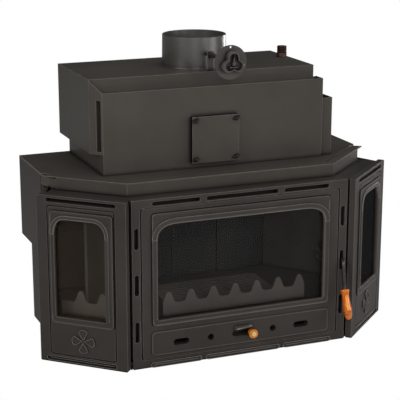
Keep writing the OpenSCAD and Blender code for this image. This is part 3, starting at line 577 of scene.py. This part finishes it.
# The face is the highest of rim, drop and foot, each a ramp clipped to one, over a flat pocket;
# its outer edge falls back to the rosette.
pocket, wall = 0.0072, 0.0105
rim_from, rim_ramp = 0.74, 0.06
drop_half, drop_shoulder, drop_length, drop_end = 0.0058, 0.001, 0.021, -0.006
foot_at, foot_ramp, foot_half = -0.0115, 0.0028, 0.0135
rim = np.clip((share_out[:, None] - rim_from) / rim_ramp, 0, 1) + 0 * lobe_out
drop_width = drop_half * np.clip(1 - (upwards - drop_shoulder) / drop_length, 0, 1) ** 0.7
drop = np.clip(1.6 - 1.6 * np.abs(across) / np.maximum(drop_width, 1e-5), 0, 1)
drop = drop * (upwards > drop_end)
foot = np.clip(1.5 - np.abs(upwards - foot_at) / foot_ramp, 0, 1) * (np.abs(across) < foot_half)
face = pocket + wall * np.maximum(np.maximum(rim, drop), 0.8 * foot)
edge_shares = [0, 0.94, 0.97, 0.99, 0.9999, 1.0]
edge_fall = np.interp(share_out, edge_shares, [0, 0, 0.0004, 0.0012, 0.0026, 0.0176])
face = np.maximum(face - edge_fall[:, None], 0.0)
face[-1] = 0.0
grip_front = np.stack([across, grip_back - face, rod_height + upwards], -1)

# The neck's points are (y, radius), from the grip's back into the rosette.
neck_shape = [(grip_back, 0.0125), (-0.2985, 0.0100), (rosette_face, 0.0096), (rosette_face, 0.0)]
neck = [
    np.stack(
        np.broadcast_arrays(r * np.cos(lobe_angle), y, rod_height + r * np.sin(lobe_angle)), -1
    )
    for y, r in neck_shape
]
grip = np.concatenate([grip_front, neck])
grip = finish_skin(lay_skin("damper_three_lobed_grip", grip, False, True), 50)
grip_paint = spray_paint(
    "grip_paint", (0.050, 0.047, 0.045), (0.066, 0.062, 0.060),
    grain=900, rough=0.40, edge_radius=0.0008, wear_and_highlight_share=0.8,
)
grip.data.materials.append(grip_paint)
dress(grip_paint, "damper_rosette")
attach(grip, "damper")
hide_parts("damper_grip")


# Door face.
# The door is one casting; its window has a raised surround with a soft outer rim and a narrow
# rail up each side, and over its top runs an arched band whose edge is painted bright, as wear
# and as highlight.
def soften(corners, before, after, steps=9):
    """A closed outline: every corner becomes a parabola from before to after, the distances back
    and on along its two sides."""
    corners = np.array(corners, float)
    back = np.roll(corners, 1, 0) - corners
    on = np.roll(corners, -1, 0) - corners
    back *= (np.array(before, float) / np.linalg.norm(back, axis=1))[:, None]
    on *= (np.array(after, float) / np.linalg.norm(on, axis=1))[:, None]
    s = np.linspace(0, 1, steps)[None, :, None]
    c = corners[:, None]
    bend = (1 - s) ** 2 * (c + back[:, None]) + 2 * s * (1 - s) * c + s**2 * (c + on[:, None])
    return bend.reshape(-1, 2)


def box(left, low, right, high):
    """A rectangle's corners, from the left low one round by the right."""
    return [(left, low), (right, low), (right, high), (left, high)]


def turned_right(steps):
    """Each step of a flat path turned right by a quarter and made one long."""
    return np.stack([steps[:, 1], -steps[:, 0]], -1) / np.linalg.norm(steps, axis=1)[:, None]


def offsets(path, closed=True):
    """For each point of a flat path, the sideways step that shifts both its edges by one."""
    before = path - np.roll(path, 1, 0)
    after = np.roll(path, -1, 0) - path
    if not closed:
        before[0], after[-1] = after[0], before[-1]
    one, two = turned_right(before), turned_right(after)
    return (one + two) / (1 + (one * two).sum(1))[:, None]


def carry(path, profile, closed=True):
    """A profile carried along a flat path: its first number goes out sideways, its second stands
    off the plane. Gives (along, up, off) for each path point and profile point, in millimetres."""
    profile = np.array(profile, float)
    side = offsets(path, closed)
    flat = path[:, None] + side[:, None] * profile[None, :, :1]
    off = np.broadcast_to(profile[None, :, 1:], flat.shape[:2] + (1,))
    return np.concatenate([flat, off], -1)


def on_front(grid, plane):
    """Along, up and off a face that looks forwards at y = plane, in millimetres, to metres in the
    frame."""
    return np.stack([grid[..., 0], plane - grid[..., 2], grid[..., 1]], -1) / 1000


def close_ends(grid):
    """Adds to an open run a first and a last row drawn together in their middle point."""
    first = np.broadcast_to(grid[:1].mean(1, keepdims=True), grid[:1].shape)
    last = np.broadcast_to(grid[-1:].mean(1, keepdims=True), grid[-1:].shape)
    return np.concatenate([first, grid, last])


def window_ring(window, outer, inner_drop, height, rim):
    """A ruled skin between the window's outline and the surround's outline; across it the height
    starts in the reveal, rounds over, runs flat and ends in a soft rim. Point i joins point i."""
    share = np.array([0, 0, 0.03, 0.08, 0.5, 0.86, 0.90, 0.94, 0.975, 1.0, 1.0])
    rise = [-inner_drop, height - 0.9, height - 0.25, height, height, height]
    fall = [height + 0.5 * rim, height + rim, height + 0.75 * rim, height * 0.4, -0.8]
    off = np.array(rise + fall)
    flat = window[:, None] * (1 - share[None, :, None]) + outer[:, None] * share[None, :, None]
    return np.concatenate([flat, np.broadcast_to(off[None, :, None], flat.shape[:2] + (1,))], -1)


def narrow(band, lower):
    """A band's profile at 95% of its width, with all that stands over 5 mm lowered."""
    return [(out * 0.95, off - lower * (off > 5)) for out, off in band]


door_plane, corner_steps = -390, 15
pane_half, pane_foot, pane_top = 270.6, 145.4, 437.6
rim_half, rim_foot, rim_top = 287.6, 129.4, 472.6
spring, rail_foot, rail_top = 393.0, 150.0, 391.9
arch_back, arch_on, rim_round = [6, 6, 44, 66], [6, 6, 66, 44], [12] * 4
window = box(-pane_half, pane_foot, pane_half, pane_top)
window = soften(window, arch_back, arch_on, corner_steps)
surround = soften(box(-rim_half, rim_foot, rim_half, rim_top), rim_round, rim_round, corner_steps)
ring = on_front(window_ring(window, surround, inner_drop=9.4, height=3.9, rim=0.9), door_plane)
ring = finish_skin(lay_skin("door_surround", ring, True, True), 60)
ring.data.materials.append(cast_paint)
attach(ring, "door")

# The band follows the window's two upper corners, from spring to spring.
# Painted highlight, with wear: this paint lays a much brighter tone along the edges of the bands,
# visor, petals and recess lips.
wear_and_highlight_paint = spray_paint(
    "wear_and_highlight_paint", (0.034, 0.031, 0.0285), (0.045, 0.041, 0.038),
    grain=650, rough=0.36, edge_radius=0.0026, wear_and_highlight_share=1.0, wear_and_highlight_gain=7.0, reach=0.008,
)
arch_line = [[(pane_half, spring)], window[2 * corner_steps :], [(-pane_half, spring)]]
arch_line = np.concatenate(arch_line)
band_profile = [(0.3, 3.0), (0.3, 5.4), (1.2, 6.1), (9.0, 6.3), (13.4, 6.2), (15.6, 6.6)]
band_profile += [(17.0, 6.4), (17.6, 5.2), (17.8, 3.0)]
band = on_front(close_ends(carry(arch_line, band_profile, False)), door_plane)
band = finish_skin(lay_skin("door_arch_band", band, False, True), 50)
band.data.materials.append(wear_and_highlight_paint)
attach(band, "door")
for word, run in (
    ("left", [(-pane_half, rail_top), (-pane_half, rail_foot)]),
    ("right", [(pane_half, rail_foot), (pane_half, rail_top)]),
):
    rail = on_front(close_ends(carry(np.array(run), narrow(band_profile, 0.5), False)), door_plane)
    rail = finish_skin(lay_skin("door_window_rail_" + word, rail, False, True), 50)
    rail.data.materials.append(cast_paint)
    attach(rail, "door")


# Door lower panel.
# A raised panel with round corners holds the air openings; a narrow bead runs round it, each
# opening has a soft lip, and a small visor shades the slot that the air knob slides in.
def oval(middle, half_length, half_height, steps=13):
    """A closed outline of two half circles joined by straight sides."""
    angle = np.linspace(-math.pi / 2, math.pi / 2, steps)
    straight = half_length - half_height
    right = np.stack([straight + half_height * np.cos(angle), half_height * np.sin(angle)], -1)
    return np.concatenate([right, -right]) + np.array(middle, float)


panel_half, panel_foot, panel_top, panel_round = 289.5, 37.4, 109.6, [14] * 4
panel = soften(box(-panel_half, panel_foot, panel_half, panel_top), panel_round, panel_round, 11)
bead_profile = [(-3.5, 2.2), (-2.6, 3.3), (-1.2, 3.9), (0.2, 3.5), (0.9, 2.2), (1.1, -0.6)]
bead_profile += [(-3.5, -0.6)]
bead = on_front(carry(panel, bead_profile), door_plane)
bead = finish_skin(lay_skin("door_panel_bead", bead, True, True), 60)
bead.data.materials.append(cast_paint)
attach(bead, "door")

lip_paint = spray_paint(
    "lip_paint", (0.030, 0.0270, 0.0245), (0.040, 0.0360, 0.0330),
    grain=650, rough=0.46, edge_radius=0.0026, wear_and_highlight_share=0.2,
)
lip_profile = [(-0.1, -3.0), (-0.1, 2.6), (0.7, 3.5), (2.0, 3.35), (2.4, 2.6), (2.4, 1.0)]
openings_up, slit_out, slit_half, hole_out, hole_half = 70, 197, 25.0, 102, 10.01
knob_slot_half, opening_half_height, slot_half_height = 33.0, 10.0, 9.5
for name, outline in (
    ("air_lip_left", oval((-slit_out, openings_up), slit_half, opening_half_height)),
    ("air_lip_right", oval((slit_out, openings_up), slit_half, opening_half_height)),
    ("air_hole_lip_left", oval((-hole_out, openings_up), hole_half, opening_half_height)),
    ("air_hole_lip_right", oval((hole_out, openings_up), hole_half, opening_half_height)),
    ("knob_slot_lip", oval((0, openings_up), knob_slot_half, slot_half_height)),
):
    lip = on_front(carry(outline, lip_profile), door_plane)
    lip = finish_skin(lay_skin(name, lip, True, True), 50)
    lip.data.materials.append(lip_paint)
    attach(lip, "door")

# The visor's section, given as steps out and up, swells from nothing at one end and shrinks to
# nothing at the other, along a foot that rises to the right by a tenth.
visor_out = np.array([0, 5.5, 9.5, 11.0, 10.2, 6.0, 0.0])
visor_up = np.array([9.6, 8.2, 6.0, 3.6, 1.8, 0.8, 0.2])
visor_run = np.array([-24.0, -22.5, -19, 14, 26.5, 30.0, 31.5])[:, None]
visor_size = np.array([0.0, 0.55, 0.9, 1.0, 0.9, 0.55, 0.0])[:, None]
visor_foot, panel_off = 84.0 + 0.10 * visor_run, 2.4
visor = np.broadcast_arrays(
    visor_run,
    visor_foot + visor_up * (0.4 + 0.6 * visor_size),
    panel_off + visor_out * visor_size,
)
visor = on_front(np.stack(visor, -1), door_plane)
visor = finish_skin(lay_skin("knob_slot_visor", visor, False, True), 50)
# Painted highlight, with wear: the visor's edges are painted bright.
visor.data.materials.append(wear_and_highlight_paint)
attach(visor, "door")


# Wing faces.
# Each wing repeats the door on a narrow casting: a surround with a soft rim, an arched band and
# two rails at its window, and a four-petal ornament under it; the band and the petals are painted
# bright along their edges, as wear and as highlight.
wing_turn = math.radians(43)
wing_inner_x, frame_plane = 369, -402


def on_wing(grid, side):
    """Along the wing, up and off its front face, in millimetres, to metres in the frame; side is
    1 on the right and -1 on the left."""
    along, up, off = grid[..., 0], grid[..., 1], grid[..., 2]
    x = wing_inner_x + along * math.cos(wing_turn) + off * math.sin(wing_turn)
    y = frame_plane + along * math.sin(wing_turn) - off * math.cos(wing_turn)
    return np.stack([side * x, y, up], -1) / 1000


def round_bead(width, height, sunk, steps):
    """A closed profile: a flat foot sunk under the face and a half ellipse over it."""
    angle = np.linspace(0, math.pi, steps)
    top = np.stack([width / 2 * np.cos(angle), height * np.sin(angle)], -1)
    return np.concatenate([top, [[-width / 2, -sunk], [width / 2, -sunk]]])


wing_steps = 13
near, far, wing_pane_top = 66.4, 229.6, 447.6
rim_near, rim_far, wing_rim_foot = 41.4, 242.6, 127.4
wing_spring, wing_rail_top = 401.0, 399.9
wing_back, wing_on = [5, 5, 46, 40], [5, 5, 40, 46]
wing_window = soften(box(near, pane_foot, far, wing_pane_top), wing_back, wing_on, wing_steps)
wing_surround = box(rim_near, wing_rim_foot, rim_far, rim_top)
wing_surround = soften(wing_surround, rim_round, rim_round, wing_steps)
wing_arch = [[(far, wing_spring)], wing_window[2 * wing_steps :], [(near, wing_spring)]]
wing_arch = np.concatenate(wing_arch)
wing_band = [(0.3, 2.4), (0.3, 4.6), (1.2, 5.2), (8.0, 5.3), (10.4, 5.2), (11.8, 5.6)]
wing_band += [(12.8, 5.3), (13.2, 4.4), (13.4, 2.4)]

# A petal widens nearly evenly over 72% of its length and then ends in an elliptical arc.
petal_start, petal_length, petal_half, widest = 4, 33, 13.5, 0.72
petal_middle, petal_off = np.array([143.0, 78.0]), 2.2
petal_bead = round_bead(width=2.2, height=1.3, sunk=0.8, steps=7)
reach_out = np.linspace(0, 1, 15)
taper = (reach_out / widest) ** 0.9
tip = np.sqrt(np.clip(1 - ((reach_out - widest) / (1 - widest)) ** 2, 0, 1))
half = petal_half * np.where(reach_out < widest, taper, tip)
petal_along = petal_start + petal_length * reach_out
upper, lower = np.stack([petal_along, half], -1), np.stack([petal_along, -half], -1)
leaf = np.concatenate([lower, upper[-2:0:-1]])
for side, word in ((-1, "left"), (1, "right")):
    ring = window_ring(wing_window, wing_surround, inner_drop=8.4, height=3.3, rim=0.8)
    band = close_ends(carry(wing_arch, wing_band, False))
    made = [
        (lay_skin("wing_surround_" + word, on_wing(ring, side), True, True), cast_paint),
        (lay_skin("wing_arch_band_" + word, on_wing(band, side), False, True), wear_and_highlight_paint),
    ]
    for place, run in (
        ("near", [(near, wing_rail_top), (near, rail_foot)]),
        ("far", [(far, rail_foot), (far, wing_rail_top)]),
    ):
        rail = close_ends(carry(np.array(run), narrow(wing_band, 0.4), False))
        rail = lay_skin(f"wing_window_rail_{word}_{place}", on_wing(rail, side), False, True)
        made.append((rail, cast_paint))
    for quarter in range(4):
        turn = math.radians(90 * quarter)
        spin = [[math.cos(turn), -math.sin(turn)], [math.sin(turn), math.cos(turn)]]
        petal = carry(leaf @ np.array(spin).T + petal_middle, petal_bead)
        petal[..., 2] += petal_off
        petal = lay_skin(f"wing_petal_{word}_{quarter}", on_wing(petal, side), True, True)
        made.append((petal, wear_and_highlight_paint))
    for piece, paint in made:
        finish_skin(piece, 60)
        piece.data.materials.append(paint)
        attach(piece, "stove")


# Recess ribs.
# The long shallow recesses along the foot of the centre frame and of each wing have a thin raised
# lip and one rib along their middle, both painted bright along their edges as wear and highlight.
recess_lip = [(-0.1, -2.0), (-0.1, 0.5), (0.5, 1.1), (1.3, 1.0), (1.8, 0.2), (1.8, -0.8)]
recess_rib = [(1.2, -5.2), (1.0, -2.2), (0.0, -1.6), (-1.0, -2.2), (-1.2, -5.2)]
recess_at, recess_half, rib_inset = 11.75, 6.25, 9.0
for word, start, end, place, at in (
    ("centre_left", -295, -136, on_front, frame_plane),
    ("centre", -120, 120, on_front, frame_plane),
    ("centre_right", 136, 295, on_front, frame_plane),
    ("wing_left", 36, 264, on_wing, -1),
    ("wing_right", 36, 264, on_wing, 1),
):
    rim = carry(oval(((start + end) / 2, recess_at), (end - start) / 2, recess_half), recess_lip)
    rib = np.array([(start + rib_inset, recess_at), (end - rib_inset, recess_at)])
    rib = close_ends(carry(rib, recess_rib, False))
    for piece in (
        lay_skin("recess_lip_" + word, place(rim, at), True, True),
        lay_skin("recess_rib_" + word, place(rib, at), False, True),
    ):
        finish_skin(piece, 50)
        piece.data.materials.append(wear_and_highlight_paint)
        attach(piece, "stove")


# Latch lever.
# A forged flat bar comes through the middle right slot of the frame, bends down and thins
# towards the tang that the wooden grip is driven on.
def blunt(v):
    """A sine or cosine raised to a power below one, which squares up the circle."""
    return np.sign(v) * np.abs(v) ** 0.62


# The bar's middle line in (y, z) is laid through its bends at even steps and smoothed once; its
# blunt section stands square to it, thick across the line and wide along x.
lever_x = 334
lever_line = np.array(
    [(-352, 262), (-372, 262.2), (-388, 262.2), (-396, 261.0), (-400.5, 257.0), (-402.6, 249)]
    + [(-404.6, 236), (-408, 213), (-411.4, 192), (-414.0, 178.5), (-415.9, 171.5)]
)
along = np.concatenate([[0], np.cumsum(np.linalg.norm(np.diff(lever_line, axis=0), axis=1))])
even = np.linspace(0, along[-1], 40)
line = np.stack([np.interp(even, along, lever_line[:, k]) for k in (0, 1)], -1)
line[1:-1] = (line[:-2] + 2 * line[1:-1] + line[2:]) / 4
step = np.gradient(line, axis=0)
step /= np.linalg.norm(step, axis=1)[:, None]
thick = np.interp(even / along[-1], [0, 0.35, 0.5, 0.75, 1], [4.6, 4.8, 5.4, 5.2, 4.6])
wide = np.interp(even / along[-1], [0, 0.30, 0.40, 1], [3.8, 3.8, 6.2, 5.0])
angle = np.linspace(0, 2 * math.pi, 24, endpoint=False)
section_x = wide[:, None] * blunt(np.cos(angle))
section_n = thick[:, None] * blunt(np.sin(angle))
lever_y = line[:, :1] + section_n * step[:, 1:2]
lever_z = line[:, 1:2] - section_n * step[:, 0:1]
lever = np.stack([lever_x + section_x, lever_y, lever_z], -1) / 1000
lever = finish_skin(lay_skin("latch_forged_lever", close_ends(lever), False, True), 60)
lever.data.materials.append(dark_steel)
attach(lever, "handle")
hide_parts("latch_lever")


# Wooden grip.
# A turned beech grip, lacquered orange, with a collar at its top, a waist, a long swell and two
# burnt rings above its round end.
def lacquered_wood(name, axis_tilt, pale, deep):
    """Lacquered wood: noise stretched along the turning axis gives the grain, a burn attribute
    darkens the rings, and a clear coat lies over all."""
    wood = bpy.data.materials.new(name)
    wood.use_nodes = True
    nodes, links = wood.node_tree.nodes, wood.node_tree.links
    shader = nodes["Principled BSDF"]
    shader.inputs["Specular IOR Level"].default_value = 1.0
    shader.inputs["Specular Tint"].default_value = (1.0, 0.66, 0.26, 1)
    shader.inputs["Coat Weight"].default_value = 0.2
    shader.inputs["Coat Roughness"].default_value = 0.06
    where = nodes.new("ShaderNodeTexCoord")
    stretch = nodes.new("ShaderNodeMapping")
    stretch.inputs["Rotation"].default_value = (axis_tilt, 0, 0)
    stretch.inputs["Scale"].default_value = (420, 420, 26)
    grain = nodes.new("ShaderNodeTexNoise")
    grain.inputs["Scale"].default_value = 1.0
    grain.inputs["Detail"].default_value = 5.0
    tones = nodes.new("ShaderNodeValToRGB")
    tones.color_ramp.elements[0].position = 0.3
    tones.color_ramp.elements[0].color = (*deep, 1)
    tones.color_ramp.elements[1].position = 0.7
    tones.color_ramp.elements[1].color = (*pale, 1)
    burn = nodes.new("ShaderNodeAttribute")
    burn.attribute_name = "burn"
    char = nodes.new("ShaderNodeMix")
    char.data_type = "RGBA"
    char.inputs["B"].default_value = (0.05, 0.012, 0.003, 1)
    sheen = nodes.new("ShaderNodeMapRange")
    sheen.inputs["To Min"].default_value = 0.13
    sheen.inputs["To Max"].default_value = 0.22
    links.new(where.outputs["Object"], stretch.inputs["Vector"])
    links.new(stretch.outputs["Vector"], grain.inputs["Vector"])
    links.new(grain.outputs["Fac"], tones.inputs["Fac"])
    links.new(tones.outputs["Color"], char.inputs["A"])
    links.new(burn.outputs["Fac"], char.inputs["Factor"])
    links.new(char.outputs["Result"], shader.inputs["Base Color"])
    links.new(grain.outputs["Fac"], sheen.inputs["Value"])
    links.new(sheen.outputs["Result"], shader.inputs["Roughness"])
    return wood


def depth_along(piece, start, axis):
    """How far along the axis each point of a piece lies from its start, in millimetres."""
    points = np.empty(len(piece.data.vertices) * 3)
    piece.data.vertices.foreach_get("co", points)
    return (points.reshape(-1, 3) - start) @ axis * 1000


def ring_at(depth, middle, half_width):
    """A burnt ring: one at its middle, falling evenly to nought over half its width."""
    return np.clip(1 - np.abs(depth - middle) / half_width, 0, 1)


def burn_piece(piece, burnt):
    """Stores for each point how far it is burnt, from nought to one."""
    burn = piece.data.attributes.new("burn", "FLOAT", "POINT")
    burn.data.foreach_set("value", burnt.astype(np.float32))


grip_tilt = math.radians(21)
grip_axis = np.array([0, -math.sin(grip_tilt), -math.cos(grip_tilt)])
grip_top = np.array([0.334, -0.4155, 0.172])
grip_collar = [(0.0, 0.0), (0.0, 11.0), (0.8, 12.8), (2.8, 13.7), (6.0, 13.8), (8.4, 13.0)]
grip_collar += [(9.6, 12.0), (11, 11.6)]
grip_swell = [(16, 11.0), (24, 10.7), (32, 10.9), (42, 11.7), (52, 12.7), (60, 13.2), (66, 13.3)]
grip_rings = [(69.6, 13.1), (70.4, 12.4), (71.4, 12.4), (72.2, 12.9), (76.6, 12.4), (77.4, 11.6)]
grip_rings += [(78.4, 11.6), (79.2, 12.1)]
grip_end = [(84, 10.9), (88, 9.1), (91, 6.9), (93, 4.3), (93.8, 2.0), (93.9, 0)]
grip_shape = np.array(grip_collar + grip_swell + grip_rings + grip_end)
grip_wood = turn_piece("latch_wooden_grip", grip_top, grip_axis, grip_shape / 1000, 64)
depth = depth_along(grip_wood, grip_top, grip_axis)
burnt = np.maximum(ring_at(depth, 70.9, 1.7), ring_at(depth, 77.9, 1.7))
burnt = np.maximum(burnt, 0.5 * np.clip(1 - depth / 0.8, 0, 1))
burn_piece(grip_wood, burnt)
orange_wood = lacquered_wood("orange_wood", -grip_tilt, (0.66, 0.150, 0.004), (0.40, 0.068, 0.002))
grip_wood.data.materials.append(orange_wood)
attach(grip_wood, "handle")
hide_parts("handle_grip")


# Air knob.
# A small turned knob of the same wood, paler and with one burnt ring, sits on the slider's stem
# and has a domed brass screw let into its face.
inwards = np.array([0, 1, 0])
knob_at = np.array([0.027, -0.422, 0.070])
knob_shape = [(1.4, 0.0), (1.4, 5.9), (0.0, 6.0), (0.2, 10.3), (1.0, 12.0), (2.6, 13.8)]
knob_shape += [(5.0, 14.8), (7.6, 14.6), (10.0, 13.0), (12.4, 11.1), (16, 10.3), (20, 10.6)]
knob_shape += [(23.2, 10.7), (24, 10.1), (24, 0)]
knob = turn_piece("air_wooden_knob", knob_at, inwards, np.array(knob_shape) / 1000, 64)
burn_piece(knob, 0.8 * ring_at(depth_along(knob, knob_at, inwards), 12.6, 1.2))
knob_wood = lacquered_wood("knob_wood", math.pi / 2, (0.55, 0.195, 0.014), (0.34, 0.092, 0.006))
knob.data.materials.append(knob_wood)
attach(knob, "air_control")
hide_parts("air_knob")

brass = turned_steel("knob_brass", (0.62, 0.44, 0.17), (0.80, 0.62, 0.30), rough=0.28)
cap_shape = np.array([(-1.1, 0.0), (-1.0, 3.6), (-0.5, 6.8), (0.4, 8.6), (1.8, 8.8), (1.8, 0.0)])
cap_at = knob_at + np.array([0, 0.0004, 0])
cap = turn_piece("air_knob_brass_cap", cap_at, inwards, cap_shape / 1000, 48)
cap.data.materials.append(brass)
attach(cap, "air_control")


# Cover screws.
# Four wing screws hold the inspection cover: a blacked round head and collar with one bent wing
# across it, tightened by hand at a slant.
screw_black = turned_steel("screw_black", (0.014, 0.013, 0.012), (0.034, 0.031, 0.030), rough=0.45)
cover_face, head_length = -0.213, 0.0085
head_shape = [(0.0, 0.0), (0.0, 3.4), (0.6, 4.4), (2.4, 5.2), (5.4, 5.6), (7.4, 5.0)]
head_shape += [(8.0, 5.0), (8.0, 7.4), (9.0, 7.4), (9.0, 0.0)]

# The wing is a flattened tube along a shallow arc: its height falls off like a blunt ellipse to
# both ends, its depth follows a cosine, and the whole is turned by the slant.
wing_half, wing_tall, wing_sag, slant = 0.0125, 0.0042, 0.0035, math.radians(24)
wing_off, wing_swell = -0.0052, 0.0014
run = np.linspace(-1, 1, 13)[:, None]
loop = np.linspace(0, 2 * math.pi, 14, endpoint=False)
tall = wing_tall * np.sqrt(np.clip(1 - run**2, 0, 1)) ** 0.6
flat_x = wing_half * run + 0 * loop
flat_z = tall * np.sin(loop) + wing_sag * run**2
wing_x = flat_x * math.cos(slant) - flat_z * math.sin(slant)
wing_z = flat_x * math.sin(slant) + flat_z * math.cos(slant)
wing_y = wing_off + wing_swell * np.cos(loop) * np.clip(1.2 - run**2, 0.1, 1)
screw_spots = np.array([(x, z) for x in (-79.5, 53.5) for z in (575.0, 694.0)]) / 1000
for number, (x, z) in enumerate(screw_spots):
    head_at = (x, cover_face - head_length, z)
    head = turn_piece(f"cover_screw_{number}", head_at, inwards, np.array(head_shape) / 1000, 32)
    wing = np.stack([x + wing_x, cover_face + wing_y, z + wing_z], -1)
    blade = finish_skin(lay_skin(f"cover_screw_wing_{number}", wing, False, True), 60)
    for piece in (head, blade):
        piece.data.materials.append(screw_black)
        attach(piece, "stove")
    if number == 0:
        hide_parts("cover_screws")
